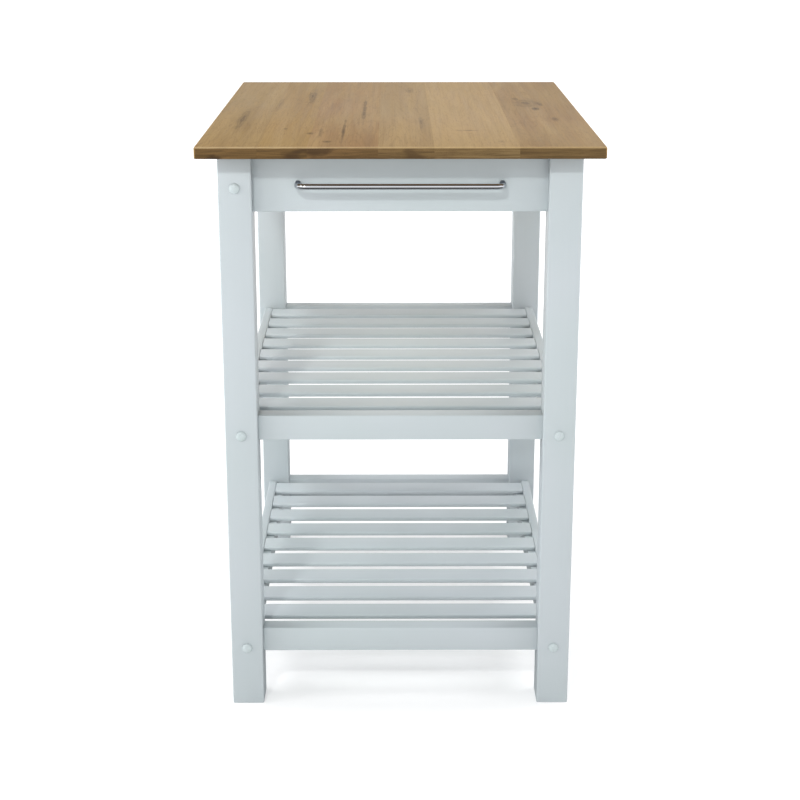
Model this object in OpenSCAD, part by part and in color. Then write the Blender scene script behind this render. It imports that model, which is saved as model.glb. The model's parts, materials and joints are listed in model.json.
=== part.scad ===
// Kitchen island cart: butcher-block top on a white bolted frame, with two slatted
// shelves, a towel bar on the front end and one drawer in the right long side.
// Millimetres, +Z up. The origin is on the floor, under the middle of the top.
// X runs across the short side and Y along the long side. The towel bar is at -Y.

/* [Top] */
// Width of the top, across the short side
top_w = 600; // [560:1:700]
// Length of the top, along the long side
top_l = 800; // [760:1:1000]
// Thickness of the top
top_t = 18; // [16:1:30]
// Height of the working surface above the floor
height = 914; // [860:1:960]

/* [Frame] */
// Width of the frame over the legs
frame_w = 542; // [520:1:560]
// Length of the frame over the legs
frame_l = 722; // [710:1:740]
// Side of a square leg
leg = 50; // [46:1:54]
// Height of the aprons under the top
apron_h = 88; // [88:1:100]
// Thickness of the aprons
apron_t = 20; // [18:1:24]

/* [Shelves] */
// Height of the middle shelf's top face
middle_top = 488; // [400:1:560]
// Height of the bottom shelf's top face
bottom_top = 128; // [110:1:200]
// Thickness of the shelf rails
rail_t = 28; // [26:1:32]
// Height of the end rails of a shelf
end_rail_h = 40; // [36:1:50]
// Height of the side rails of a shelf
side_rail_h = 50; // [48:1:60]
// Width of a slat
slat_w = 45; // [38:1:45]
// Thickness of a slat
slat_t = 8; // [6:1:10]
// Distance from slat to slat
slat_pitch = 70; // [68:1:70]

/* [Towel bar] */
// Distance between the feet of the towel bar
bar_span = 305; // [250:1:320]
// Diameter of the towel bar
bar_d = 9; // [7:0.5:10]
// How far the bar's axis stands off the apron
bar_reach = 28; // [24:1:32]
// How far the bar's axis lies below the underside of the top
bar_drop = 45; // [40:1:56]

/* [Drawer] */
// Height of the drawer front
front_h = 67; // [64:1:67]
// Thickness of the drawer front
front_t = 18; // [16:1:18]
// Thickness of the drawer's sides and back
box_t = 12; // [10:1:12]
// Height of the drawer's sides
box_h = 50; // [40:1:50]
// Depth of the drawer box behind its front
box_d = 432; // [380:1:440]
// Distance between the two knobs
knob_span = 300; // [200:1:400]

/* [Hidden] */

$fn = 64;
white = "white";
wood = "burlywood";
steel = "silver";

frame_top = height - top_t;     // the top panel rests here
leg_x = (frame_w - leg) / 2;    // centre of a leg, across
leg_y = (frame_l - leg) / 2;    // centre of a leg, along
bay_x = leg_x - leg / 2;        // inner faces of the legs
bay_y = leg_y - leg / 2;
edge_r = 2;                     // eased edges of the legs
rail_r = 1.5;                   // eased edges of rails, aprons and slats
top_r = 3;                      // eased corners of the top
cut = 1;                        // how far a cutter runs past a face

bolt_drop = 30;                 // bolt axis below a shelf's top face
apron_bolt_drop = 50;           // bolt axis below the apron's top edge
bolt_d = 6;
bolt_hole_d = 6.4;
head_d = 12;
head_h = 4;
head_sink = 5;                  // depth of the counterbore in the leg
sink_d = 14;
socket_d = 5.8;
socket_depth = 3;
bolt_grip = 40;                 // bolt length inside a rail
nut_d = 10;
nut_l = 12;
nut_depth = 30;                 // nut axis from the rail's end
nut_gap = 0.2;
cap_d = 16;
cap_rise = 4.5;
cap_stem_d = 4.2;
cap_stem = 2.5;

dowel_d = 8;
dowel_l = 30;
dowel_gap = 0.2;
apron_end_dowel_drops = [18, 70];   // end aprons' dowels below the frame's top
rail_end_dowel_drops = [12, 28];    // end rails' dowels below the shelf's top face
dowel_drop_side = 42;           // side-rail dowel below the shelf's top face
apron_dowel_drops = [20, 75];   // left apron's dowels below the frame's top
rail_dowel_x = 7;               // drawer rail's dowels each side of its middle

slat_count = 9;                 // slats in a shelf, one node each
rabbet_w = 13;                  // step in a side rail that carries the slats
slat_gap = 0.5;                 // end clearance of a slat

bar_bend = 12;
bar_screw_d = 4;
bar_screw_grip = 10;

screw_d = 3.5;
screw_head_d = 7;
screw_head_h = 2;
screw_gap = 0.2;
bracket_w = 20;
bracket_h = 24;
bracket_reach = 22;
bracket_t = 2;
bracket_drop = 14;              // screw below the frame's top
bracket_x = 120;
bracket_y = 150;
bracket_grip = 12;

drawer_rail_h = 16;
rail_clear = 2;                 // gap under the drawer front
side_clear = 2.5;               // gap beside the drawer front
runner_t = 25;                  // width of a guide
runner_ledge = 16;
runner_up = 2;                  // ledge above the apron's lower edge
runner_guide = 18;              // guide above the ledge, clear of the towel bar's screws
runner_lip = 17;                // how far the ledge reaches under the drawer
guide_clear = 1;
lift = 1;                       // running gap between drawer and ledge
runner_screw_x = 180;
runner_screw_sink = 4;
runner_grip = 12;
runner_end_gap = 0.5;           // gap between a runner's end and the leg
groove_up = 6;                  // groove above the drawer side's bottom edge
groove_depth = 5;
panel_t = 4;
panel_gap = 0.1;
knob_d = 26;
knob_reach = 25;
knob_neck_d = 10;
knob_foot_d = 16;
knob_foot_h = 3;
knob_head_h = 12;
knob_ball_d = 31;               // sphere that rounds the knob's face

apron_z = frame_top - apron_h;
bar_z = frame_top - bar_drop;
apron_in_x = leg_x - apron_t / 2;   // inner faces of the aprons
apron_in_y = leg_y - apron_t / 2;
rail_in_x = leg_x - rail_t / 2;     // inner faces of the shelf rails
rail_in_y = leg_y - rail_t / 2;
ledge_z = apron_z + runner_up + runner_ledge;
guide_y = apron_in_y - runner_t;    // running face of a drawer guide
box_y = guide_y - guide_clear;      // outer face of a drawer side
box_z = ledge_z + lift;
front_x = leg_x + rail_t / 2;       // outer face of the drawer front
box_x = front_x - front_t;          // back of the drawer front
front_z = apron_z + drawer_rail_h + rail_clear;
panel_z = box_z + groove_up;
shelf_tops = [middle_top, bottom_top];
bolt_places = [for (s = [-1, 1]) for (z = shelf_tops) [s, z - bolt_drop]];
all_bolts = concat(bolt_places, [[-1, frame_top - apron_bolt_drop]]);

// A rectangle, centred, with round corners
module soft_rect(w, h, r) {
    square([w - 2 * r, h], center = true);
    square([w, h - 2 * r], center = true);
    for (x = [-1, 1])
        for (y = [-1, 1])
            translate([x * (w / 2 - r), y * (h / 2 - r)])
                circle(r = r, $fn = 24);
}

// A bar along X, centred in X and Y, from z to z + h
module bar_x(l, t, z, h, r = rail_r) {
    translate([-l / 2, 0, z + h / 2])
        rotate([90, 0, 90])
            linear_extrude(l)
                soft_rect(t, h, r);
}

// A bar along Y, centred in X and Y, from z to z + h
module bar_y(l, t, z, h, r = rail_r) {
    translate([0, l / 2, z + h / 2])
        rotate([90, 0, 0])
            linear_extrude(l)
                soft_rect(t, h, r);
}

// A rod along X, centred on the origin
module rod_x(d, l) {
    rotate([0, 90, 0])
        cylinder(d = d, h = l, center = true);
}

// A rod along Y, centred on the origin
module rod_y(d, l) {
    rotate([90, 0, 0])
        cylinder(d = d, h = l, center = true);
}

// Heights of the dowels in an end frame, two to each joint
end_dowel_z = concat(
    [for (drop = apron_end_dowel_drops) frame_top - drop],
    [for (z = shelf_tops) for (drop = rail_end_dowel_drops) z - drop]
);

module end_dowel_set(d, l) {
    for (sx = [-1, 1])
        for (sy = [-1, 1])
            for (z = end_dowel_z)
                translate([sx * bay_x, sy * leg_y, z])
                    rod_x(d, l);
}

module side_dowel_set(d, l) {
    for (sy = [-1, 1]) {
        for (sx = [-1, 1])
            for (z = shelf_tops)
                translate([sx * leg_x, sy * bay_y, z - dowel_drop_side])
                    rod_y(d, l);
        for (drop = apron_dowel_drops)
            translate([-leg_x, sy * bay_y, frame_top - drop])
                rod_y(d, l);
        for (dx = [-rail_dowel_x, rail_dowel_x])
            translate([leg_x + dx, sy * bay_y, apron_z + drawer_rail_h / 2])
                rod_y(d, l);
    }
}

// Clearance for the bolts, their heads and the barrel nuts
module bolt_cuts() {
    for (sy = [-1, 1])
        for (p = all_bolts) {
            translate([p[0] * leg_x, sy * (bay_y - bolt_grip - cut), p[1]])
                rotate([-90 * sy, 0, 0])
                    cylinder(d = bolt_hole_d, h = leg + bolt_grip + 2 * cut);
            translate([p[0] * leg_x, sy * (frame_l / 2 - head_sink), p[1]])
                rotate([-90 * sy, 0, 0])
                    cylinder(d = sink_d, h = head_sink + cut);
            translate([p[0] * (leg_x + (nut_l / 2 + cut - leg / 2) / 2), sy * (bay_y - nut_depth), p[1]])
                rod_x(nut_d + nut_gap, nut_l / 2 + cut + leg / 2);
        }
}

module dowel_cuts() {
    end_dowel_set(dowel_d + dowel_gap, dowel_l + cut);
    side_dowel_set(dowel_d + dowel_gap, dowel_l + cut);
}

module top_panel() {
    color(wood)
        difference() {
            translate([0, 0, frame_top])
                linear_extrude(top_t)
                    soft_rect(top_w, top_l, top_r);
            bracket_places()
                translate([bracket_reach / 2 + bracket_t / 2, 0, -cut])
                    cylinder(d = screw_d + screw_gap, h = bracket_grip + 2 * cut);
        }
}

module leg_at(sx, sy) {
    color(white)
        difference() {
            translate([sx * leg_x, sy * leg_y, 0])
                linear_extrude(frame_top)
                    soft_rect(leg, leg, edge_r);
            bolt_cuts();
            dowel_cuts();
        }
}

module apron_end(sy) {
    color(white)
        difference() {
            translate([0, sy * leg_y, 0])
                bar_x(2 * bay_x, apron_t, apron_z, apron_h);
            dowel_cuts();
            bracket_screw_cuts();
            runner_screw_cuts();
            if (sy < 0)
                towel_screw_cuts();
        }
}

module apron_left() {
    color(white)
        difference() {
            translate([-leg_x, 0, 0])
                bar_y(2 * bay_y, apron_t, apron_z, apron_h);
            dowel_cuts();
            bolt_cuts();
            bracket_screw_cuts();
        }
}

module drawer_rail() {
    color(white)
        difference() {
            translate([leg_x, 0, 0])
                bar_y(2 * bay_y, rail_t, apron_z, drawer_rail_h);
            dowel_cuts();
        }
}

module shelf_rail_end(sy, top_z) {
    color(white)
        difference() {
            translate([0, sy * leg_y, 0])
                bar_x(2 * bay_x, rail_t, top_z - end_rail_h, end_rail_h);
            dowel_cuts();
        }
}

module shelf_rail_side(sx, top_z) {
    color(white)
        difference() {
            translate([sx * leg_x, 0, 0])
                bar_y(2 * bay_y, rail_t, top_z - side_rail_h, side_rail_h);
            translate([sx * (rail_in_x + rabbet_w / 2 - cut / 2), 0, top_z - slat_t / 2 + cut / 2])
                cube([rabbet_w + cut, 2 * bay_y + 2 * cut, slat_t + cut], center = true);
            dowel_cuts();
            bolt_cuts();
        }
}

// One slat, counted from the front end
module slat(top_z, i) {
    color(white)
        translate([0, (i - (slat_count + 1) / 2) * slat_pitch, 0])
            bar_x(2 * (rail_in_x + rabbet_w - slat_gap), slat_w, top_z - slat_t, slat_t);
}

module towel_bar() {
    foot_y = -leg_y - apron_t / 2;
    axis_y = foot_y - bar_reach;
    straight = bar_span - 2 * bar_bend;
    color(steel)
        difference() {
            translate([0, 0, bar_z])
                union() {
                    translate([0, axis_y, 0])
                        rod_x(bar_d, straight);
                    for (s = [-1, 1]) {
                        translate([s * straight / 2, axis_y + bar_bend, 0])
                            rotate([0, 0, s < 0 ? 180 : 270])
                                rotate_extrude(angle = 90)
                                    translate([bar_bend, 0])
                                        circle(d = bar_d, $fn = 32);
                        translate([s * bar_span / 2, (foot_y + axis_y + bar_bend) / 2, 0])
                            rod_y(bar_d, foot_y - axis_y - bar_bend);
                    }
                }
            towel_screw_cuts();
        }
}

module towel_screw_cuts() {
    for (s = [-1, 1])
        translate([s * bar_span / 2, -leg_y, bar_z])
            rod_y(bar_screw_d + screw_gap, apron_t + 2 * bar_screw_grip + cut);
}

module towel_bar_screws() {
    color(steel)
        for (s = [-1, 1])
            translate([s * bar_span / 2, -apron_in_y, bar_z])
                rotate([90, 0, 0]) {
                    cylinder(d = bar_screw_d, h = apron_t + bar_screw_grip);
                    translate([0, 0, -screw_head_h])
                        cylinder(d = 2 * bar_screw_d, h = screw_head_h);
                }
}

module frame_bolts() {
    color(steel)
        for (sy = [-1, 1])
            for (p = all_bolts)
                translate([p[0] * leg_x, sy * (frame_l / 2 - head_sink), p[1]])
                    rotate([-90 * sy, 0, 0])
                        difference() {
                            union() {
                                cylinder(d = head_d, h = head_h);
                                translate([0, 0, head_sink - leg - bolt_grip])
                                    cylinder(d = bolt_d, h = leg + bolt_grip - head_sink + cut);
                            }
                            translate([0, 0, head_h - socket_depth])
                                cylinder(d = socket_d, h = socket_depth + cut, $fn = 6);
                        }
}

module barrel_nuts() {
    color(steel)
        for (sy = [-1, 1])
            for (p = all_bolts)
                translate([p[0] * leg_x, sy * (bay_y - nut_depth), p[1]])
                    difference() {
                        rod_x(nut_d, nut_l);
                        rod_y(bolt_hole_d, nut_d + 2 * cut);
                    }
}

// A domed cap over each bolt head, with a stem that plugs into the head's socket
module bolt_caps() {
    dome_r = (pow(cap_d / 2, 2) + pow(cap_rise, 2)) / (2 * cap_rise);
    color(white)
        for (sy = [-1, 1])
            for (p = all_bolts)
                translate([p[0] * leg_x, sy * frame_l / 2, p[1]])
                    rotate([-90 * sy, 0, 0]) {
                        intersection() {
                            translate([0, 0, cap_rise - dome_r])
                                sphere(r = dome_r);
                            cylinder(d = 2 * cap_d, h = 2 * cap_rise);
                        }
                        translate([0, 0, -cap_stem])
                            cylinder(d = cap_stem_d, h = cap_stem + cut);
                    }
}

module end_frame_dowels() {
    color(wood)
        end_dowel_set(dowel_d, dowel_l);
}

module side_rail_dowels() {
    color(wood)
        side_dowel_set(dowel_d, dowel_l);
}

// Puts its children at each bracket, with +X pointing into the frame and z at the frame's top
module bracket_places() {
    for (sy = [-1, 1]) {
        for (x = [-bracket_x, bracket_x])
            translate([x, sy * apron_in_y, frame_top])
                rotate([0, 0, -90 * sy])
                    children();
        translate([-apron_in_x, sy * bracket_y, frame_top])
            children();
    }
}

module bracket_screw_cuts() {
    bracket_places()
        translate([0, 0, -bracket_drop])
            rod_x(screw_d + screw_gap, 2 * bracket_grip + cut);
}

module top_brackets() {
    color(steel)
        bracket_places()
            difference() {
                union() {
                    translate([0, -bracket_w / 2, -bracket_h])
                        cube([bracket_t, bracket_w, bracket_h]);
                    translate([0, -bracket_w / 2, -bracket_t])
                        cube([bracket_reach, bracket_w, bracket_t]);
                }
                translate([0, 0, -bracket_drop])
                    rod_x(screw_d + screw_gap, 4 * bracket_t);
                translate([bracket_reach / 2 + bracket_t / 2, 0, -2 * bracket_t])
                    cylinder(d = screw_d + screw_gap, h = 3 * bracket_t);
            }
}

module bracket_screws() {
    color(steel)
        bracket_places() {
            translate([bracket_t, 0, -bracket_drop])
                rotate([0, -90, 0]) {
                    cylinder(d = screw_d, h = bracket_grip + bracket_t);
                    translate([0, 0, -screw_head_h])
                        cylinder(d = screw_head_d, h = screw_head_h);
                }
            translate([bracket_reach / 2 + bracket_t / 2, 0, -bracket_t]) {
                cylinder(d = screw_d, h = bracket_grip + bracket_t);
                translate([0, 0, -screw_head_h])
                    cylinder(d = screw_head_d, h = screw_head_h);
            }
        }
}

// A wooden drawer runner: a ledge under the drawer side and a guide beside it
module runner(sy) {
    length = 2 * (bay_x - runner_end_gap);
    color(wood)
        difference() {
            union() {
                translate([-length / 2, sy > 0 ? guide_y - runner_lip : -apron_in_y, ledge_z - runner_ledge])
                    cube([length, apron_in_y - guide_y + runner_lip, runner_ledge]);
                translate([-length / 2, sy > 0 ? guide_y : -apron_in_y, ledge_z - runner_ledge])
                    cube([length, apron_in_y - guide_y, runner_ledge + runner_guide]);
            }
            runner_screw_cuts();
        }
}

runner_screw_z = ledge_z + runner_guide / 2;

module runner_screw_cuts() {
    for (sy = [-1, 1])
        for (x = [-runner_screw_x, 0, runner_screw_x]) {
            translate([x, sy * (guide_y + apron_in_y + runner_grip) / 2, runner_screw_z])
                rod_y(screw_d + screw_gap, runner_t + runner_grip + 2 * cut);
            translate([x, sy * guide_y, runner_screw_z])
                rod_y(screw_head_d + cut, 2 * runner_screw_sink);
        }
}

module runner_screws() {
    color(steel)
        for (sy = [-1, 1])
            for (x = [-runner_screw_x, 0, runner_screw_x])
                translate([x, sy * (guide_y + runner_screw_sink), runner_screw_z])
                    rotate([-90 * sy, 0, 0]) {
                        cylinder(d = screw_d, h = apron_in_y - guide_y - runner_screw_sink + runner_grip);
                        translate([0, 0, -screw_head_h])
                            cylinder(d = screw_head_d, h = screw_head_h);
                    }
}

// The groove that holds the drawer's bottom panel, in the sides and the front
module panel_groove() {
    translate([box_x - box_d - cut, -box_y + box_t - groove_depth, panel_z - panel_gap])
        cube([box_d + groove_depth + cut, 2 * (box_y - box_t + groove_depth), panel_t + 2 * panel_gap]);
}

module drawer_front() {
    color(white)
        difference() {
            translate([box_x + front_t / 2, 0, 0])
                bar_y(2 * (bay_y - side_clear), front_t, front_z, front_h);
            panel_groove();
            knob_screw_cuts();
        }
}

module drawer_side(sy) {
    color(wood)
        difference() {
            translate([box_x - box_d, sy > 0 ? box_y - box_t : -box_y, box_z])
                cube([box_d, box_t, box_h]);
            panel_groove();
        }
}

module drawer_back() {
    back_z = panel_z + panel_t + panel_gap;
    color(wood)
        translate([box_x - box_d, -box_y + box_t, back_z])
            cube([box_t, 2 * (box_y - box_t), box_z + box_h - back_z]);
}

module drawer_bottom() {
    half_w = box_y - box_t + groove_depth - 2 * panel_gap;
    color(wood)
        translate([box_x - box_d, -half_w, panel_z])
            cube([box_d + groove_depth - 2 * panel_gap, 2 * half_w, panel_t]);
}

// Puts its children on each knob's axis, at the drawer front's face, with +Z pointing outwards
module knob_places() {
    for (s = [-1, 1])
        translate([front_x, s * knob_span / 2, front_z + front_h / 2])
            rotate([0, 90, 0])
                children();
}

module knob_screw_cuts() {
    knob_places()
        translate([0, 0, -front_t - cut])
            cylinder(d = bar_screw_d + screw_gap, h = front_t + 2 * cut);
}

module drawer_knobs() {
    color(steel)
        knob_places()
            difference() {
                union() {
                    cylinder(d = knob_foot_d, h = knob_foot_h);
                    cylinder(d = knob_neck_d, h = knob_reach - knob_head_h + cut);
                    translate([0, 0, knob_reach - knob_head_h])
                        intersection() {
                            cylinder(d = knob_d, h = knob_head_h);
                            translate([0, 0, knob_head_h - knob_ball_d / 2])
                                sphere(d = knob_ball_d);
                        }
                }
                translate([0, 0, -cut])
                    cylinder(d = bar_screw_d + screw_gap, h = bar_screw_grip + 2 * cut);
            }
}

module knob_screws() {
    color(steel)
        knob_places() {
            translate([0, 0, -front_t])
                cylinder(d = bar_screw_d, h = front_t + bar_screw_grip);
            translate([0, 0, -front_t - screw_head_h])
                cylinder(d = 2 * bar_screw_d, h = screw_head_h);
        }
}

top_panel();
leg_at(-1, -1);  // leg_front_left
leg_at(1, -1);  // leg_front_right
leg_at(-1, 1);  // leg_back_left
leg_at(1, 1);  // leg_back_right
apron_end(-1);  // apron_front
apron_end(1);  // apron_back
apron_left();
drawer_rail();
shelf_rail_end(-1, middle_top);  // middle_rail_front
shelf_rail_end(1, middle_top);  // middle_rail_back
shelf_rail_side(-1, middle_top);  // middle_rail_left
shelf_rail_side(1, middle_top);  // middle_rail_right
shelf_rail_end(-1, bottom_top);  // bottom_rail_front
shelf_rail_end(1, bottom_top);  // bottom_rail_back
shelf_rail_side(-1, bottom_top);  // bottom_rail_left
shelf_rail_side(1, bottom_top);  // bottom_rail_right
slat(middle_top, 1);  // middle_slat_1
slat(middle_top, 2);  // middle_slat_2
slat(middle_top, 3);  // middle_slat_3
slat(middle_top, 4);  // middle_slat_4
slat(middle_top, 5);  // middle_slat_5
slat(middle_top, 6);  // middle_slat_6
slat(middle_top, 7);  // middle_slat_7
slat(middle_top, 8);  // middle_slat_8
slat(middle_top, 9);  // middle_slat_9
slat(bottom_top, 1);  // bottom_slat_1
slat(bottom_top, 2);  // bottom_slat_2
slat(bottom_top, 3);  // bottom_slat_3
slat(bottom_top, 4);  // bottom_slat_4
slat(bottom_top, 5);  // bottom_slat_5
slat(bottom_top, 6);  // bottom_slat_6
slat(bottom_top, 7);  // bottom_slat_7
slat(bottom_top, 8);  // bottom_slat_8
slat(bottom_top, 9);  // bottom_slat_9
towel_bar();
towel_bar_screws();
frame_bolts();
barrel_nuts();
bolt_caps();
end_frame_dowels();
side_rail_dowels();
top_brackets();
bracket_screws();
runner(-1);  // runner_front
runner(1);  // runner_back
runner_screws();
drawer_front();
drawer_side(-1);  // drawer_side_front
drawer_side(1);  // drawer_side_back
drawer_back();
drawer_bottom();
drawer_knobs();
knob_screws();
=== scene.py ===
"""Looks of the kitchen island cart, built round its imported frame. Metres, +Z up, towel bar at -Y."""
import json
import math

import bmesh
import bpy
from mathutils import Matrix, Vector


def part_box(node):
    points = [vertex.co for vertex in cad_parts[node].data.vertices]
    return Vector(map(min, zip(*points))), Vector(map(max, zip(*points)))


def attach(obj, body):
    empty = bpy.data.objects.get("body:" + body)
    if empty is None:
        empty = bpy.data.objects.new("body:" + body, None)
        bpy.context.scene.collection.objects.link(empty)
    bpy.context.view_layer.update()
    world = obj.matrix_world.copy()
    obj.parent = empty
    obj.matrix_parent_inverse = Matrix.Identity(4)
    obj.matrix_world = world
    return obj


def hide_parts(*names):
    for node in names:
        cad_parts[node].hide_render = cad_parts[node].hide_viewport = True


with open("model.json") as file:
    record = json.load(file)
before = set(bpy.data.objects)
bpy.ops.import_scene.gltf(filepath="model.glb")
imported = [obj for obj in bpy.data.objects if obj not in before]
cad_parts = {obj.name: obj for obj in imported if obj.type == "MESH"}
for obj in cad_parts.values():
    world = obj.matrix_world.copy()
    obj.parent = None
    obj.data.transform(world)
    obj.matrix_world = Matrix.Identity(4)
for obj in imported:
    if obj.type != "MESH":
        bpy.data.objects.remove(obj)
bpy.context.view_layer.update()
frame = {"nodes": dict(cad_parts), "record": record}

MM = 0.001
X, Y, Z = 0, 1, 2

# ---------------------------------------------------------------- node helpers


class Shader:
    """A material's node tree, with short calls for the nodes that the finishes share."""

    def __init__(self, name):
        self.material = bpy.data.materials.new(name)
        self.material.use_nodes = True
        self.tree = self.material.node_tree
        self.nodes = self.tree.nodes
        self.bsdf = self.nodes["Principled BSDF"]

    def link(self, out, socket):
        self.tree.links.new(out, socket)

    def put(self, value, socket):
        """Links an output, or sets a plain value."""
        if isinstance(value, bpy.types.NodeSocket):
            self.link(value, socket)
        else:
            socket.default_value = value

    def place(self, stretch=(1, 1, 1), shift=None):
        """The place on the object in metres, scaled along each axis."""
        where = self.nodes.new("ShaderNodeTexCoord").outputs["Object"]
        if shift is not None:
            add = self.nodes.new("ShaderNodeVectorMath")
            self.link(where, add.inputs[0])
            self.put(shift, add.inputs[1])
            where = add.outputs[0]
        scale = self.nodes.new("ShaderNodeMapping")
        self.link(where, scale.inputs["Vector"])
        scale.inputs["Scale"].default_value = stretch
        return scale.outputs[0]

    def noise(self, where, detail=4.0, roughness=0.55, distortion=0.0):
        node = self.nodes.new("ShaderNodeTexNoise")
        self.link(where, node.inputs["Vector"])
        node.inputs["Scale"].default_value = 1.0
        node.inputs["Detail"].default_value = detail
        node.inputs["Roughness"].default_value = roughness
        node.inputs["Distortion"].default_value = distortion
        return node.outputs["Fac"]

    def ramp(self, value, stops, constant=False):
        """Turns a value into a colour, by stops of (value, colour or grey)."""
        node = self.nodes.new("ShaderNodeValToRGB")
        self.link(value, node.inputs[0])
        node.color_ramp.interpolation = "CONSTANT" if constant else "LINEAR"
        parts = node.color_ramp.elements
        while len(parts) < len(stops):
            parts.new(0.5)
        for part, (at, colour) in zip(parts, stops):
            part.position = at
            grey = isinstance(colour, (int, float))
            part.color = (colour, colour, colour, 1) if grey else (*colour, 1)
        return node.outputs["Color"]

    def math(self, kind, a, b=0.0, c=None, clamp=False):
        node = self.nodes.new("ShaderNodeMath")
        node.operation = kind
        node.use_clamp = clamp
        self.put(a, node.inputs[0])
        self.put(b, node.inputs[1])
        if c is not None:
            self.put(c, node.inputs[2])
        return node.outputs[0]

    def mix(self, amount, a, b):
        """Goes from colour a to colour b by an amount."""
        node = self.nodes.new("ShaderNodeMix")
        node.data_type = "RGBA"
        self.put(amount, node.inputs["Factor"])
        for socket, value in ((node.inputs[6], a), (node.inputs[7], b)):
            self.put((*value, 1) if isinstance(value, tuple) else value, socket)
        return node.outputs[2]

    def bump(self, height, depth, distance):
        node = self.nodes.new("ShaderNodeBump")
        node.inputs["Strength"].default_value = depth
        node.inputs["Distance"].default_value = distance
        self.link(height, node.inputs["Height"])
        self.link(node.outputs[0], self.bsdf.inputs["Normal"])

    def finish(self, colour, rough, **values):
        """Sets the surface's colour, roughness and other named values, and gives the material."""
        self.put(colour, self.bsdf.inputs["Base Color"])
        self.put(rough, self.bsdf.inputs["Roughness"])
        for name, value in values.items():
            self.bsdf.inputs[name.replace("_", " ").title().replace("Ior", "IOR")].default_value = value
        return self.material


def along(axis, long, across):
    """Scales for a texture that runs along an axis."""
    return tuple(long if i == axis else across for i in range(3))


# ---------------------------------------------------------------- finishes

PAINT_LOW = (0.425, 0.477, 0.485)
PAINT_HIGH = (0.455, 0.493, 0.516)
PAINT_GRAIN = (0.36, 0.41, 0.42)


def white_paint(axis):
    """Satin paint over solid wood, with brush marks and a trace of the grain along one axis."""
    s = Shader("white_paint_" + "xyz"[axis])
    cloud = s.noise(s.place((3, 3, 3)), 2)
    grain = s.noise(s.place(along(axis, 5, 210)), 6, 0.6, 0.2)
    peel = s.noise(s.place((900, 900, 900)), 2)
    tone = s.ramp(cloud, [(0.3, PAINT_LOW), (0.7, PAINT_HIGH)])
    tone = s.mix(s.math("MULTIPLY", grain, 0.10), tone, PAINT_GRAIN)
    rough = s.math("MULTIPLY_ADD", grain, 0.16, 0.34)
    relief = s.math("ADD", s.math("MULTIPLY", grain, 0.8), s.math("MULTIPLY", peel, 0.25))
    s.bump(relief, 0.10, 0.3 * MM)
    return s.finish(tone, rough, coat_weight=0.15, coat_roughness=0.25)


# The boards of the top from left to right: width in mm, colour, and how strongly the grain shows
BOARDS = [
    (91, (0.221, 0.139, 0.050), 0.9),
    (72, (0.238, 0.143, 0.047), 0.7),
    (102, (0.239, 0.138, 0.055), 1.0),
    (84, (0.270, 0.175, 0.075), 0.8),
    (124, (0.325, 0.213, 0.094), 0.6),
    (127, (0.240, 0.144, 0.059), 1.0),
]
# Knots and checks in the top: middle in mm, half width and half length in mm, and depth of tone
KNOTS = [
    (-254, -110, 9, 190, 0.87),
    (-206, 60, 7, 120, 0.49),
    (-178, -220, 6, 14, 1.05),
    (-155, 170, 10, 115, 1.05),
    (-137, -267, 7, 14, 1.19),
    (-122, -260, 4, 60, 0.84),
    (-108, -350, 9, 12, 1.12),
    (-87, -240, 3.5, 140, 1.40),
    (-59, -10, 5, 175, 1.19),
    (20, 260, 9, 60, 0.56),
    (34, -150, 5, 110, 0.63),
    (104, -238, 30, 7, 0.70),
    (150, -350, 8, 16, 0.56),
    (205, 140, 8, 22, 0.98),
    (222, 80, 27, 75, 0.70),
    (230, 10, 9, 26, 1.26),
    (243, 70, 6, 30, 0.84),
    (252, -110, 8, 26, 1.05),
]
# How fast the rings follow each other across a knot, in radians over its half width
KNOT_RINGS = 14

GRAIN_DARK = (0.127, 0.068, 0.021)
GRAIN_LIGHT = (0.341, 0.228, 0.099)
GRAIN_GREEN = (0.256, 0.178, 0.070)
# Painted highlight: the light tone that the top's upper arrises are toned towards
ARRIS_HIGHLIGHT = (0.47, 0.34, 0.18)
# Pore colour, and also the dark tone that the top's underside is toned towards as painted shade
PORE_AND_UNDERSIDE_SHADE = (0.086, 0.043, 0.015)
KNOT = (0.056, 0.029, 0.009)
END_TONE = (0.096, 0.062, 0.022)
END_RED = (0.118, 0.052, 0.014)
END_STREAK = (0.056, 0.032, 0.010)
END_PATCH = (0.048, 0.025, 0.009)
END_PORE = (0.051, 0.029, 0.010)


def board_ramp(s, across, values):
    """A value for each board of the top, by the place across it."""
    widths = [width for width, tone, strength in BOARDS]
    edges = [sum(widths[:i]) / sum(widths) for i in range(len(widths))]
    return s.ramp(across, list(zip(edges, values)), constant=True)


def across_top(s, spot):
    """The place across the top, 0 at its left edge and 1 at its right."""
    low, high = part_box("top_panel")
    return s.math("MULTIPLY_ADD", spot["X"], 1 / (high[X] - low[X]), 0.5)


def boards(s):
    """The place on the top, each board's colour and grain strength, and a shift for its own grain."""
    spot = s.nodes.new("ShaderNodeSeparateXYZ")
    s.link(s.nodes.new("ShaderNodeTexCoord").outputs["Object"], spot.inputs[0])
    across = across_top(s, spot.outputs)
    shift = s.nodes.new("ShaderNodeCombineXYZ")
    own = board_ramp(s, across, [(i * 0.37) % 1 for i in range(len(BOARDS))])
    s.link(own, shift.inputs["Y"])
    s.link(s.math("MULTIPLY", own, 7.3), shift.inputs["Z"])
    tones = board_ramp(s, across, [tone for width, tone, strength in BOARDS])
    strengths = board_ramp(s, across, [strength for width, tone, strength in BOARDS])
    return spot.outputs, tones, strengths, shift.outputs[0]


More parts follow.
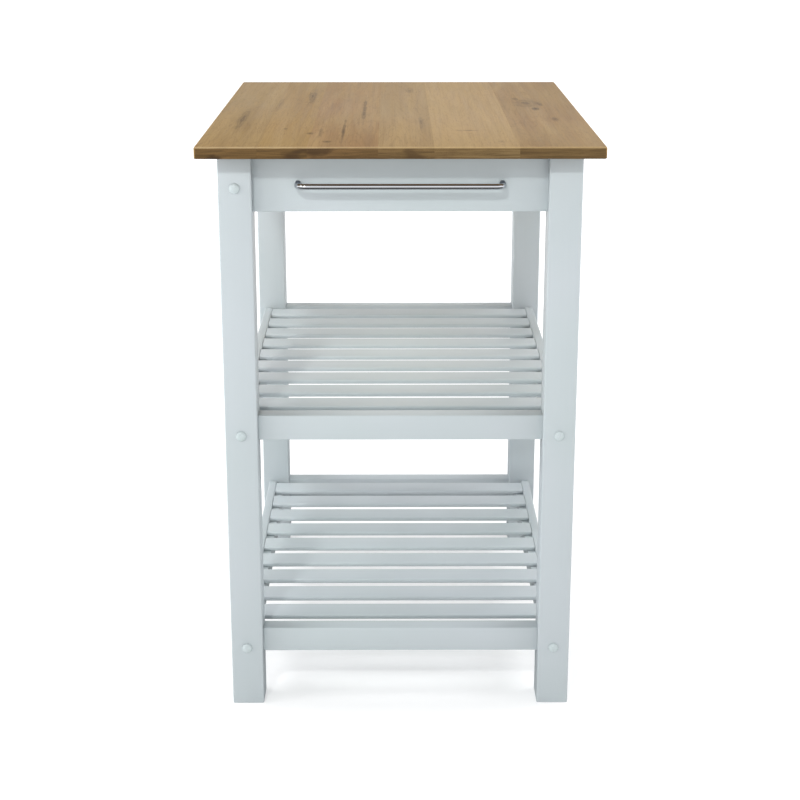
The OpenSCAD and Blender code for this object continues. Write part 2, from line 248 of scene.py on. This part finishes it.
def knots(s, spot):
    """How much of a knot or check lies at a place: 0 for none."""
    wobble = s.math("MULTIPLY_ADD", s.noise(s.place((60, 25, 60)), 3), 1.1, -0.55)
    total = 0.0
    for x, y, half_w, half_l, depth in KNOTS:
        dx = s.math("MULTIPLY_ADD", spot["X"], 1 / (half_w * MM), -x / half_w)
        dy = s.math("MULTIPLY_ADD", spot["Y"], 1 / (half_l * MM), -y / half_l)
        far = s.math("SQRT", s.math("ADD", s.math("MULTIPLY", dx, dx), s.math("MULTIPLY", dy, dy)))
        reach = s.math("ADD", far, wobble)
        wave = s.math("SINE", s.math("MULTIPLY", reach, KNOT_RINGS))
        rings = s.math("MULTIPLY_ADD", wave, 0.25, 0.75)
        near = s.math("SUBTRACT", 1.0, reach, clamp=True)
        total = s.math("MULTIPLY_ADD", s.math("MULTIPLY", near, rings), depth, total)
    return total


def varnished_top(name, toned=0.0, tone_to=None, gloss=0.03):
    """Clear satin varnish on wide jointed boards, toned towards a colour where an amount is given; the
    toning paints a highlight on the upper arrises and shade on the underside.
    """
    s = Shader(name)
    spot, tone, strength, shift = boards(s)
    knot = knots(s, spot)
    streaks = s.noise(s.place((70, 3.2, 70), shift), 7, 0.62, 0.6)
    figure = s.noise(s.place((16, 1.6, 16), shift), 3, 0.5, 1.6)
    pores = s.noise(s.place((1100, 45, 1100), shift), 2, 0.5)
    blotch = s.noise(s.place((9, 5, 9)), 3)
    fine = s.noise(s.place((300, 5, 300), shift), 5, 0.6, 0.3)
    broad = s.noise(s.place((22, 1.4, 22), shift), 4, 0.6, 0.9)
    dark = s.ramp(streaks, [(0.36, 1.0), (0.60, 0.0)])
    colour = s.mix(s.math("MULTIPLY", dark, s.math("MULTIPLY", strength, 0.30)), tone, GRAIN_DARK)
    colour = s.mix(s.ramp(broad, [(0.42, 0.0), (0.66, 0.55)]), colour, GRAIN_LIGHT)
    rings = s.math("FRACT", s.math("MULTIPLY", figure, 11.0))
    lines = s.ramp(rings, [(0.0, 0.8), (0.20, 0.0), (0.86, 0.0), (1.0, 0.8)])
    colour = s.mix(s.math("MULTIPLY", lines, s.math("MULTIPLY", strength, 0.34)), colour, GRAIN_DARK)
    colour = s.mix(s.ramp(fine, [(0.36, 0.22), (0.52, 0.0)]), colour, GRAIN_DARK)
    colour = s.mix(s.ramp(blotch, [(0.40, 0.0), (0.72, 0.35)]), colour, GRAIN_GREEN)
    fleck = s.ramp(pores, [(0.30, 0.7), (0.42, 0.0)])
    colour = s.mix(s.math("MULTIPLY", fleck, 0.55), colour, PORE_AND_UNDERSIDE_SHADE)
    colour = s.mix(s.math("MINIMUM", knot, 0.85), colour, KNOT)
    # Toning: paints a highlight on the upper arrises and shade on the underside
    if toned:
        colour = s.mix(toned, colour, tone_to)
    rough = s.math("MULTIPLY_ADD", streaks, 0.22, 0.42)
    relief = s.math("SUBTRACT", s.math("MULTIPLY", streaks, 0.5), s.math("MULTIPLY", fleck, 0.5))
    s.bump(relief, 0.18, 0.25 * MM)
    return s.finish(colour, rough, coat_weight=gloss, coat_roughness=0.3, specular_ior_level=0.12)


def varnished_ends():
    """The end faces of the top: darker, with short streaks, and redder with dark patches to the left."""
    s = Shader("varnished_ends")
    spot, tone, _, shift = boards(s)
    streaks = s.noise(s.place((11, 20, 240), shift), 5, 0.6, 0.8)
    clouds = s.noise(s.place((17, 17, 40), shift), 3, 0.5)
    pores = s.noise(s.place((700, 700, 700)), 2)
    left = s.ramp(across_top(s, spot), [(0.0, 1.0), (0.55, 0.55), (0.75, 0.1), (1.0, 0.2)])
    colour = s.mix(0.62, tone, END_TONE)
    colour = s.mix(s.math("MULTIPLY", left, 0.45), colour, END_RED)
    colour = s.mix(s.ramp(streaks, [(0.40, 0.60), (0.60, 0.0)]), colour, END_STREAK)
    patch = s.math("MULTIPLY", s.ramp(clouds, [(0.50, 0.0), (0.60, 1.0)]), left)
    colour = s.mix(patch, colour, END_PATCH)
    colour = s.mix(s.ramp(pores, [(0.32, 0.35), (0.45, 0.0)]), colour, END_PORE)
    rough = s.math("MULTIPLY_ADD", streaks, 0.2, 0.42)
    relief = s.math("ADD", s.math("MULTIPLY", streaks, 0.6), s.math("MULTIPLY", pores, 0.3))
    s.bump(relief, 0.22, 0.25 * MM)
    return s.finish(colour, rough, coat_weight=0.03, coat_roughness=0.35, specular_ior_level=0.15)


def bare_wood(name, axis, light, dark):
    """Sanded wood with no finish, grain along one axis."""
    s = Shader(name)
    grain = s.noise(s.place(along(axis, 3, 95)), 7, 0.6, 0.5)
    rings = s.noise(s.place(along(axis, 1.1, 19)), 3, 0.5, 1.2)
    pores = s.noise(s.place(along(axis, 40, 1000)), 2)
    colour = s.mix(s.ramp(grain, [(0.35, 1.0), (0.65, 0.0)]), light, dark)
    bands = s.math("FRACT", s.math("MULTIPLY", rings, 8.0))
    lines = s.ramp(bands, [(0.0, 0.5), (0.25, 0.0), (1.0, 0.1)])
    colour = s.mix(lines, colour, tuple(0.72 * c for c in dark))
    rough = s.math("MULTIPLY_ADD", grain, 0.2, 0.55)
    s.bump(s.math("ADD", grain, s.math("MULTIPLY", pores, 0.4)), 0.2, 0.3 * MM)
    return s.finish(colour, rough)


def chrome():
    """Polished chrome plate, with faint wiping marks."""
    s = Shader("chrome_plate")
    marks = s.noise(s.place((30, 900, 900)), 3)
    cloud = s.noise(s.place((12, 12, 12)), 2)
    colour = s.ramp(cloud, [(0.3, (0.82, 0.83, 0.86)), (0.7, (0.90, 0.91, 0.93))])
    rough = s.math("MULTIPLY_ADD", marks, 0.05, 0.03)
    s.bump(marks, 0.02, 0.02 * MM)
    return s.finish(colour, rough, metallic=1.0, specular_tint=(0.16, 0.17, 0.20, 1))


def zinc():
    """Zinc-plated steel with a dull spangle."""
    s = Shader("zinc_plate")
    spangle = s.noise(s.place((260, 260, 260)), 3, 0.6)
    colour = s.ramp(spangle, [(0.35, (0.44, 0.45, 0.44)), (0.65, (0.62, 0.62, 0.60))])
    rough = s.math("MULTIPLY_ADD", spangle, 0.25, 0.25)
    s.bump(spangle, 0.08, 0.1 * MM)
    return s.finish(colour, rough, metallic=1.0)


def cap_plastic():
    """White moulded plastic."""
    s = Shader("cap_plastic")
    peel = s.noise(s.place((700, 700, 700)), 2)
    cloud = s.noise(s.place((25, 25, 25)), 2)
    colour = s.ramp(cloud, [(0.3, (0.43, 0.49, 0.495)), (0.7, (0.46, 0.51, 0.52))])
    rough = s.math("MULTIPLY_ADD", peel, 0.1, 0.22)
    s.bump(peel, 0.05, 0.1 * MM)
    return s.finish(colour, rough, coat_weight=0.2)


# The floor's glow under the cart and at GLOW_REACH metres from it
GLOW_NEAR = 0.42
GLOW_FAR = 0.95
GLOW_REACH = 5.0


def floor_paint():
    """A pale studio floor that glows, more so far from the cart, as a lit backdrop does."""
    s = Shader("studio_floor")
    cloud = s.noise(s.place((1.5, 1.5, 1.5)), 3)
    colour = s.ramp(cloud, [(0.3, 0.60), (0.7, 0.62)])
    away = s.nodes.new("ShaderNodeVectorMath")
    away.operation = "LENGTH"
    s.link(s.place(), away.inputs[0])
    share = s.math("DIVIDE", away.outputs["Value"], GLOW_REACH)
    s.link(s.ramp(share, [(0.1, GLOW_NEAR), (1.0, GLOW_FAR)]), s.bsdf.inputs["Emission Strength"])
    s.bsdf.inputs["Emission Color"].default_value = (1, 1, 1, 1)
    rough = s.math("MULTIPLY_ADD", s.noise(s.place((6, 6, 6)), 3), 0.1, 0.8)
    return s.finish(colour, rough, specular_ior_level=0.1)


# The light and the dark tone of each bare wood
PINE = ((0.62, 0.45, 0.26), (0.50, 0.33, 0.17))
PLY = ((0.58, 0.42, 0.25), (0.50, 0.35, 0.20))
paint = [white_paint(axis) for axis in (X, Y, Z)]
top_faces = varnished_top("varnished_top")
# The top's upper arrises, toned lighter and glossier: a painted highlight along the edges
painted_highlight_edges = varnished_top("painted_highlight_edges", 0.36, ARRIS_HIGHLIGHT, 0.25)
# The top's underside, toned most of the way to a dark tone: painted shade
underside = varnished_top("painted_shade_underside", 0.75, PORE_AND_UNDERSIDE_SHADE)
end_faces = varnished_ends()
pine_x = bare_wood("pine_x", X, *PINE)
pine_y = bare_wood("pine_y", Y, *PINE)
plywood = bare_wood("plywood", Y, *PLY)
chrome_plate = chrome()
zinc_plate = zinc()
plastic = cap_plastic()

# ---------------------------------------------------------------- mesh helpers

SHARP_ANGLE = math.radians(35)
END_EASE = 0.4 * MM


def piece(name, mesh, materials, body, nodes):
    """Adds a finished mesh to the scene as a piece that stands for CAD nodes."""
    mesh.normal_update()
    data = bpy.data.meshes.new(name)
    mesh.to_mesh(data)
    mesh.free()
    for material in materials:
        data.materials.append(material)
    data.shade_smooth()
    made = bpy.data.objects.new(name, data)
    bpy.context.scene.collection.objects.link(made)
    data.set_sharp_from_angle(angle=SHARP_ANGLE)
    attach(made, body)
    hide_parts(*nodes)
    return made


def ease(mesh, edges, width, segments):
    """Rounds edges of a mesh."""
    bmesh.ops.bevel(mesh, geom=edges, offset=width, offset_type="OFFSET", segments=segments,
                    profile=0.5, affect="EDGES", clamp_overlap=True)


def runs_along(edge, axis):
    step = edge.verts[1].co - edge.verts[0].co
    return abs(step[axis]) > 0.99 * step.length


def board_mesh(low, high, axis, edge, end=END_EASE, segments=4):
    """A board whose long edges are rounded by edge, and its ends by end."""
    mesh = bmesh.new()
    low, high = Vector(low), Vector(high)
    bmesh.ops.create_cube(mesh, size=1.0)
    bmesh.ops.scale(mesh, vec=high - low, verts=mesh.verts)
    bmesh.ops.translate(mesh, vec=(low + high) / 2, verts=mesh.verts)
    ease(mesh, [e for e in mesh.edges if runs_along(e, axis)], edge, segments)
    ends = [e for e in mesh.edges if any(abs(f.normal[axis]) > 0.99 for f in e.link_faces)]
    ease(mesh, ends, end, 2)
    return mesh


def board(node, axis, edge, material, body="frame", end=END_EASE):
    """A board in place of a CAD node."""
    mesh = board_mesh(*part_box(node), axis, edge, end)
    return piece(node + "_board", mesh, [material], body, [node])


def profile_mesh(outline, start, stop, edge, soft):
    """An outline of (x, z) points run along Y, with the corners numbered in soft rounded by edge."""
    mesh = bmesh.new()
    ring = [mesh.verts.new((x, start, z)) for x, z in outline]
    face = mesh.faces.new(ring)
    grown = bmesh.ops.extrude_face_region(mesh, geom=[face])["geom"]
    moved = [g for g in grown if isinstance(g, bmesh.types.BMVert)]
    bmesh.ops.translate(mesh, vec=(0, stop - start, 0), verts=moved)
    bmesh.ops.recalc_face_normals(mesh, faces=mesh.faces)
    corners = [Vector(outline[i]) for i in soft]
    long_edges = [e for e in mesh.edges if runs_along(e, Y)]
    rounded = [e for e in long_edges if any((e.verts[0].co.xz - c).length < MM / 10 for c in corners)]
    ease(mesh, rounded, edge, 4)
    return mesh


def drill(made, middle, radius, depth):
    """Cuts a round hole along X into a piece, depth long, with its middle at a place."""
    cutter = bmesh.new()
    place = Matrix.Translation(middle) @ Matrix.Rotation(math.pi / 2, 4, "Y")
    bmesh.ops.create_cone(cutter, cap_ends=True, segments=40, radius1=radius, radius2=radius,
                          depth=depth, matrix=place)
    data = bpy.data.meshes.new("cutter")
    cutter.to_mesh(data)
    cutter.free()
    tool = bpy.data.objects.new("cutter", data)
    bpy.context.scene.collection.objects.link(tool)
    cut = made.modifiers.new("hole", "BOOLEAN")
    cut.operation = "DIFFERENCE"
    cut.object = tool
    bpy.context.view_layer.update()
    with bpy.context.temp_override(object=made, active_object=made, selected_objects=[made]):
        bpy.ops.object.modifier_apply(modifier=cut.name)
    bpy.data.objects.remove(tool)


def lathe_mesh(mesh, profile, place, turns=48):
    """Turns (radius, height) points round Z and sets the result at place. A radius of 0 closes an end."""
    rings = []
    for radius, height in profile:
        if radius < 1e-6:
            rings.append([mesh.verts.new(place @ Vector((0, 0, height)))])
            continue
        ring = []
        for i in range(turns):
            a = 2 * math.pi * i / turns
            point = Vector((radius * math.cos(a), radius * math.sin(a), height))
            ring.append(mesh.verts.new(place @ point))
        rings.append(ring)
    for near, far in zip(rings, rings[1:]):
        for i in range(turns):
            j = (i + 1) % turns
            if len(near) == 1:
                mesh.faces.new((near[0], far[j], far[i]))
            elif len(far) == 1:
                mesh.faces.new((near[i], near[j], far[0]))
            else:
                mesh.faces.new((near[i], near[j], far[j], far[i]))


def arc(cx, cz, radius, start, stop, steps):
    """Points on an arc, in degrees."""
    return [
        (cx + radius * math.cos(math.radians(start + (stop - start) * i / steps)),
         cz + radius * math.sin(math.radians(start + (stop - start) * i / steps)))
        for i in range(steps + 1)
    ]


# ---------------------------------------------------------------- the top


TOP_CORNER = 3 * MM
TOP_ARRIS = 2.2 * MM


def top():
    """The jointed top, with rounded corners and arrises, and a finish for each kind of face."""
    mesh = board_mesh(*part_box("top_panel"), Z, TOP_CORNER, TOP_ARRIS, 5)
    # By the way a face points: 1 the ends and the arrises below them, 2 the upper arrises, toned lighter
    # as a painted highlight, 3 the underside, toned darker as painted shade
    for face in mesh.faces:
        if abs(face.normal.y) > 0.93 or (face.normal.z < 0 and abs(face.normal.y) > 0.3):
            face.material_index = 1
        elif 0.25 < face.normal.z < 0.97:
            face.material_index = 2
        elif face.normal.z < -0.93:
            face.material_index = 3
    finishes = [top_faces, end_faces, painted_highlight_edges, underside]
    piece("top_boards", mesh, finishes, "frame", ["top_panel"])


# ---------------------------------------------------------------- the frame


LEG_EDGE = 2.2 * MM
LEG_END = 1.5 * MM
RAIL_EDGE = 2.2 * MM
SLAT_EDGE = 3.0 * MM
SLAT_THICK = 8 * MM
# How much of a side rail's width the rabbet takes
RABBET = 13 * MM
# The barrel nuts' holes: their place from a rail's end, and the bolts' place below a rail's or apron's top
NUT_FROM_END = 30 * MM
BOLT_BELOW_SHELF = 30 * MM
BOLT_BELOW_APRON = 50 * MM
NUT_RADIUS = 5.1 * MM
NUT_HOLE_DEPTH = 17 * MM


def legs():
    for end in ("front", "back"):
        for side in ("left", "right"):
            board(f"leg_{end}_{side}", Z, LEG_EDGE, paint[Z], end=LEG_END)


def nut_holes(made, node, inward, below_top):
    """Opens the two barrel-nut holes in the inner face of a side rail or apron."""
    low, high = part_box(node)
    inner = high[X] if inward > 0 else low[X]
    for y in (low[Y] + NUT_FROM_END, high[Y] - NUT_FROM_END):
        drill(made, Vector((inner, y, high[Z] - below_top)), NUT_RADIUS, 2 * NUT_HOLE_DEPTH)


def side_rail(node, inward):
    """A side rail with the rabbet that carries the slats."""
    low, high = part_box(node)
    outer, inner = (low[X], high[X]) if inward > 0 else (high[X], low[X])
    step = inner - inward * RABBET
    ledge = high[Z] - SLAT_THICK
    outline = [(outer, low[Z]), (inner, low[Z]), (inner, ledge)]
    outline += [(step, ledge), (step, high[Z]), (outer, high[Z])]
    mesh = profile_mesh(outline, low[Y], high[Y], RAIL_EDGE, (0, 1, 4, 5))
    made = piece(node + "_board", mesh, [paint[Y]], "frame", [node])
    nut_holes(made, node, inward, BOLT_BELOW_SHELF)


def frame_rails():
    for shelf in ("middle", "bottom"):
        board(f"{shelf}_rail_front", X, RAIL_EDGE, paint[X])
        board(f"{shelf}_rail_back", X, RAIL_EDGE, paint[X])
        side_rail(f"{shelf}_rail_left", 1)
        side_rail(f"{shelf}_rail_right", -1)
    board("apron_front", X, RAIL_EDGE, paint[X])
    board("apron_back", X, RAIL_EDGE, paint[X])
    nut_holes(board("apron_left", Y, RAIL_EDGE, paint[Y]), "apron_left", 1, BOLT_BELOW_APRON)
    board("drawer_rail", Y, RAIL_EDGE, paint[Y])


def slats():
    for node in sorted(frame["nodes"]):
        if "_slat_" in node:
            board(node, X, SLAT_EDGE, paint[X])


# ---------------------------------------------------------------- fittings


CAP_RADIUS = 8 * MM
CAP_RISE = 4.5 * MM
CAP_RIM = 0.7 * MM
# The peg that holds a cap in the bolt's head
PEG_RADIUS = 2.1 * MM
PEG_LENGTH = 2.5 * MM


def cap_profile():
    """Half the outline of a cap, from the peg's end over the rim to the top of the dome."""
    foot = [(0, -PEG_LENGTH), (PEG_RADIUS, -PEG_LENGTH), (PEG_RADIUS, 0)]
    rim = [(CAP_RADIUS - 0.3 * MM, 0), (CAP_RADIUS, 0.25 * MM), (CAP_RADIUS, CAP_RIM)]
    round_part = arc(0, 0, 1, 0, 90, 12)[1:-1]
    dome = [(CAP_RADIUS * r, CAP_RIM + (CAP_RISE - CAP_RIM) * z) for r, z in round_part]
    return foot + rim + dome + [(0, CAP_RISE)]


def caps():
    """The domed cap over each bolt. The drawer's side has no bolts at the apron's height."""
    low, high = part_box("bolt_caps")
    mesh = bmesh.new()
    shelf_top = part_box("middle_rail_left")[1][Z]
    apron_level = high[Z] - CAP_RADIUS
    levels = (low[Z] + CAP_RADIUS, apron_level, shelf_top - BOLT_BELOW_SHELF)
    for end, y in ((-1, low[Y] + CAP_RISE), (1, high[Y] - CAP_RISE)):
        turn = Matrix.Rotation(-end * math.pi / 2, 4, "X")
        for side, x in ((-1, low[X] + CAP_RADIUS), (1, high[X] - CAP_RADIUS)):
            for z in levels:
                if side > 0 and z == apron_level:
                    continue
                lathe_mesh(mesh, cap_profile(), Matrix.Translation((x, y, z)) @ turn, 36)
    bmesh.ops.recalc_face_normals(mesh, faces=mesh.faces)
    piece("bolt_cap_domes", mesh, [plastic], "frame", ["bolt_caps"])


def tube_mesh(route, radius, sides=32):
    """A round tube with closed ends along a list of points that lie in one level plane."""
    mesh = bmesh.new()
    rings = []
    for i, point in enumerate(route):
        ahead = (route[min(i + 1, len(route) - 1)] - route[max(i - 1, 0)]).normalized()
        side = ahead.cross(Vector((0, 0, 1)))
        ring = []
        for k in range(sides):
            a = 2 * math.pi * k / sides
            outward = math.cos(a) * side + Vector((0, 0, math.sin(a)))
            ring.append(mesh.verts.new(point + radius * outward))
        rings.append(ring)
    for near, far in zip(rings, rings[1:]):
        for k in range(sides):
            mesh.faces.new((near[k], near[(k + 1) % sides], far[(k + 1) % sides], far[k]))
    mesh.faces.new(rings[0])
    mesh.faces.new(rings[-1])
    bmesh.ops.recalc_face_normals(mesh, faces=mesh.faces)
    return mesh


BAR_BEND = 12 * MM


def towel_bar():
    """The bent chrome rod on the front apron."""
    low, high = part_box("towel_bar")
    radius = (high[Z] - low[Z]) / 2
    z = (low[Z] + high[Z]) / 2
    left, right = low[X] + radius, high[X] - radius
    out, wall = low[Y] + radius, high[Y]
    path = [(left, wall)]
    path += arc(left + BAR_BEND, out + BAR_BEND, BAR_BEND, 180, 270, 12)
    path += arc(right - BAR_BEND, out + BAR_BEND, BAR_BEND, 270, 360, 12)
    path.append((right, wall))
    route = [Vector((x, y, z)) for x, y in path]
    piece("towel_bar_rod", tube_mesh(route, radius), [chrome_plate], "frame", ["towel_bar"])


def knobs():
    """The two turned chrome knobs on the drawer."""
    low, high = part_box("drawer_knobs")
    radius = (high[Z] - low[Z]) / 2
    reach = high[X] - low[X]
    plate = [(0, 0), (8, 0), (8, 1.6), (7.2, 2.6), (5.4, 3.4)]
    neck = [(4.6, 6), (4.8, 9), (6.5, 11.8)]
    head = [(0.86, 13.6), (0.97, 15), (1, 17), (0.98, 19), (0.90, 21.4), (0.70, 23.5), (0.36, 24.7)]
    profile = [(r * MM, h * MM) for r, h in plate + neck]
    profile += [(share * radius, h * MM) for share, h in head] + [(0, reach)]
    turn = Matrix.Rotation(math.pi / 2, 4, "Y")
    mesh = bmesh.new()
    for y in (low[Y] + radius, high[Y] - radius):
        middle = (low[X], y, (low[Z] + high[Z]) / 2)
        lathe_mesh(mesh, profile, Matrix.Translation(middle) @ turn)
    bmesh.ops.recalc_face_normals(mesh, faces=mesh.faces)
    made = piece("drawer_knob_pair", mesh, [chrome_plate], "drawer", ["drawer_knobs"])
    smooth = made.modifiers.new("smooth", "SUBSURF")
    smooth.levels = smooth.render_levels = 1


DRAWER_FRONT_EDGE = 1.8 * MM
DRAWER_BOX_EDGE = 0.8 * MM
PLY_EDGE = 0.3 * MM
RUNNER_BEVEL = 0.8 * MM


def drawer():
    board("drawer_front", Y, DRAWER_FRONT_EDGE, paint[Y], "drawer", end=DRAWER_FRONT_EDGE)
    board("drawer_side_front", X, DRAWER_BOX_EDGE, pine_x, "drawer")
    board("drawer_side_back", X, DRAWER_BOX_EDGE, pine_x, "drawer")
    board("drawer_back", Y, DRAWER_BOX_EDGE, pine_y, "drawer")
    board("drawer_bottom", Y, PLY_EDGE, plywood, "drawer")


def kept_nodes():
    """CAD nodes whose shape is right: they get their finish, and the runners' edges a small bevel."""
    finishes = {"zinc_steel": zinc_plate, "plain_wood": pine_x}
    slots = {s["node"]: s["material_slot"] for s in frame["record"]["subparts"]}
    for node, made in frame["nodes"].items():
        if made.hide_render:
            continue
        for holder in made.material_slots:
            holder.material = finishes[slots[node]]
        if node in ("runner_front", "runner_back"):
            soften = made.modifiers.new("edge", "BEVEL")
            soften.width = RUNNER_BEVEL
            soften.segments = 2
            soften.limit_method = "ANGLE"
            soften.angle_limit = math.radians(50)


top()
legs()
frame_rails()
slats()
caps()
towel_bar()
drawer()
knobs()
kept_nodes()

# ---------------------------------------------------------------- stage, lights and camera


FLOOR_RADIUS = 30


def floor():
    """A wide round floor, kept out of mirror reflections so that the chrome has its dark lines."""
    mesh = bmesh.new()
    bmesh.ops.create_circle(mesh, cap_ends=True, segments=96, radius=FLOOR_RADIUS)
    data = bpy.data.meshes.new("floor")
    mesh.to_mesh(data)
    mesh.free()
    data.materials.append(floor_paint())
    made = bpy.data.objects.new("floor", data)
    bpy.context.scene.collection.objects.link(made)
    made.visible_glossy = False


def area_light(name, at, aim, size, watts, colour, in_reflections=True):
    """A round soft light that points at aim."""
    data = bpy.data.lights.new(name, "AREA")
    data.shape = "DISK"
    data.size = size
    data.energy = watts
    data.color = colour
    lamp = bpy.data.objects.new(name, data)
    lamp.location = at
    lamp.rotation_euler = (Vector(aim) - Vector(at)).to_track_quat("-Z", "Y").to_euler()
    lamp.visible_glossy = in_reflections
    bpy.context.scene.collection.objects.link(lamp)


# The studio's light by the height of its direction, from -1 straight down to 1 straight up
WORLD_BANDS = [
    (-1.0, 0.10), (-0.36, 0.06), (-0.12, 1.0), (0.28, 1.02), (0.40, 0.66), (0.54, 0.60),
    (0.62, 0.06), (0.84, 0.06), (0.90, 0.60), (1.0, 0.60),
]


def studio_world():
    """White light from a ring round the horizon and a patch overhead, nearly dark between and below."""
    world = bpy.data.worlds.new("studio")
    world.use_nodes = True
    nodes, links = world.node_tree.nodes, world.node_tree.links
    way = nodes.new("ShaderNodeSeparateXYZ")
    links.new(nodes.new("ShaderNodeTexCoord").outputs["Generated"], way.inputs[0])
    height = nodes.new("ShaderNodeMapRange")
    height.inputs["From Min"].default_value = -1
    links.new(way.outputs["Z"], height.inputs["Value"])
    bands = nodes.new("ShaderNodeValToRGB")
    parts = bands.color_ramp.elements
    while len(parts) < len(WORLD_BANDS):
        parts.new(0.5)
    for part, (rise, strength) in zip(parts, WORLD_BANDS):
        part.position = (rise + 1) / 2
        part.color = (strength, strength, strength, 1)
    links.new(height.outputs["Result"], bands.inputs[0])
    back = nodes["Background"]
    back.inputs["Color"].default_value = (0.975, 0.985, 1.0, 1)
    links.new(bands.outputs["Color"], back.inputs["Strength"])
    bpy.context.scene.world = world


def lights():
    """A small key for the top's crisp shadow, side lights for the shelves and low fills for the back."""
    cart = (0, 0, 0.6)
    shelves = (0, 0, 0.4)
    area_light("key", (-1.1, -4.5, 3.8), cart, 0.32, 88, (0.98, 1.0, 0.99))
    area_light("key_left", (-3.8, -3.6, 3.4), cart, 1.3, 20, (0.97, 1.0, 0.985))
    area_light("side_left", (-3.2, 0.9, 3.6), shelves, 1.8, 84, (0.98, 0.99, 1.0))
    area_light("side_right", (3.2, 0.9, 3.6), shelves, 1.8, 84, (0.98, 0.985, 1.0))
    area_light("low_left", (-3.2, -0.9, 1.3), shelves, 1.8, 56, (0.98, 0.97, 1.0), in_reflections=False)
    area_light("low_right", (3.2, -0.9, 1.3), shelves, 1.8, 28, (0.98, 0.985, 1.0), in_reflections=False)
    area_light("overhead", (0.3, 0.4, 5.0), (0, 0, 0), 4.5, 66, (1.0, 1.0, 1.0))


# The camera stands about where the photo's perspective puts it. It looks down and a touch to the right
CAMERA_PLACE = (-0.010, -2.702, 1.277)
LOOKS_DOWN = 15.7
LOOKS_RIGHT = 0.23


def camera():
    data = bpy.data.cameras.new("view")
    data.sensor_width = 36
    data.lens = 72
    data.shift_y = -0.08
    made = bpy.data.objects.new("view", data)
    made.location = CAMERA_PLACE
    made.rotation_euler = (math.radians(90 - LOOKS_DOWN), 0, math.radians(-LOOKS_RIGHT))
    bpy.context.scene.collection.objects.link(made)
    bpy.context.scene.camera = made


floor()
studio_world()
lights()
camera()
bpy.context.scene.view_settings.view_transform = "Standard"
